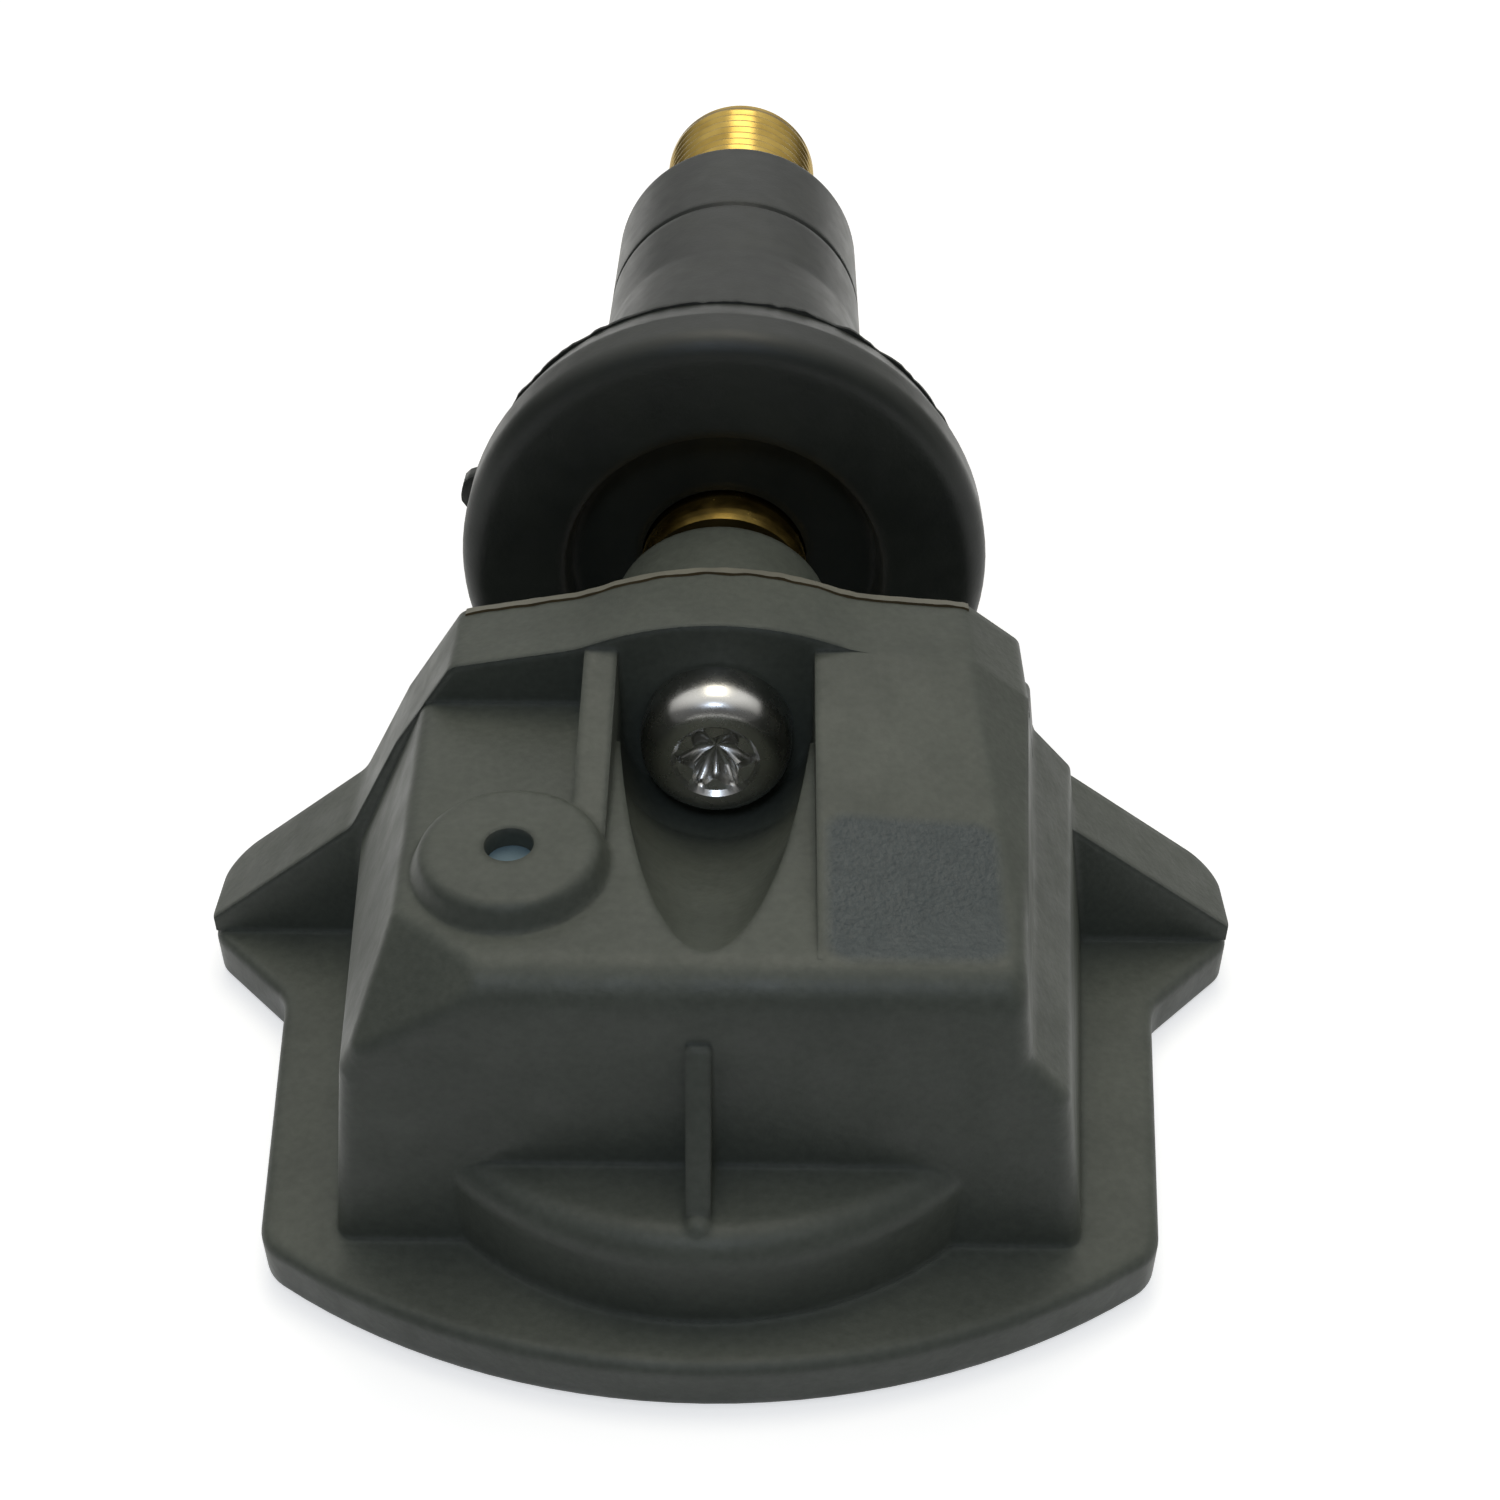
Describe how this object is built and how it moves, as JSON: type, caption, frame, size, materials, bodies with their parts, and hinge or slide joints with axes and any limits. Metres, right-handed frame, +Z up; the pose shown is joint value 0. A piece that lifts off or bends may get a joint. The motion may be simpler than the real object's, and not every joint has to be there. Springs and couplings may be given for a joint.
{
  "type": "tyre pressure sensor",
  "caption": "Tyre pressure sensor: grey moulded housing with a flange plate, screwed to a black snap-in rubber valve with a brass stem and a spring-loaded valve core.",
  "frame": {"origin": "on the valve's axis, in the middle of the groove that grips the wheel rim", "axes": "+Y along the valve to its tip, outward through the rim; +Z up from the housing's flange plate"},
  "size_m": [0.038, 0.0673, 0.0219],
  "materials": {
    "glass_filled_pbt": "moulded, fine matt",
    "potting_resin": "poured, satin",
    "circuit_laminate": "solder mask",
    "chip_epoxy": "moulded",
    "silicone": "moulded",
    "ferrite": "pressed and sintered",
    "copper": "drawn",
    "nickel_steel": "plated",
    "ceramic": "fired",
    "stainless_steel": "bright",
    "brass": "turned",
    "epdm_rubber": "moulded",
    "ptfe": "turned"
  },
  "bodies": {
    "sensor": {"housing": "glass_filled_pbt", "potting_fill": "potting_resin", "circuit_board": "circuit_laminate", "pressure_chip": "chip_epoxy", "port_seal": "silicone", "lf_coil_core": "ferrite", "lf_coil_winding": "copper", "crystal": "nickel_steel", "chip_capacitors": "ceramic", "antenna": "copper", "battery_cell": "nickel_steel", "battery_tab_positive": "nickel_steel", "battery_tab_negative": "nickel_steel", "fixing_screw": "stainless_steel", "valve_stem": "brass", "valve_rubber": "epdm_rubber", "core_plug": "brass", "core_barrel": "brass", "core_barrel_seal": "ptfe", "core_spring": "stainless_steel"},
    "core_plunger": {"core_pin": "brass", "core_cup": "brass", "core_cup_seal": "epdm_rubber"}
  },
  "joints": [
    {"name": "core_pin_press", "type": "slide", "parent": "sensor", "child": "core_plunger", "axis": [0, -1, 0], "range_m": [0, 0.0015], "stiffness_N_per_m": 900, "springref_m": -0.003, "deforming": ["core_spring"]}
  ]
}
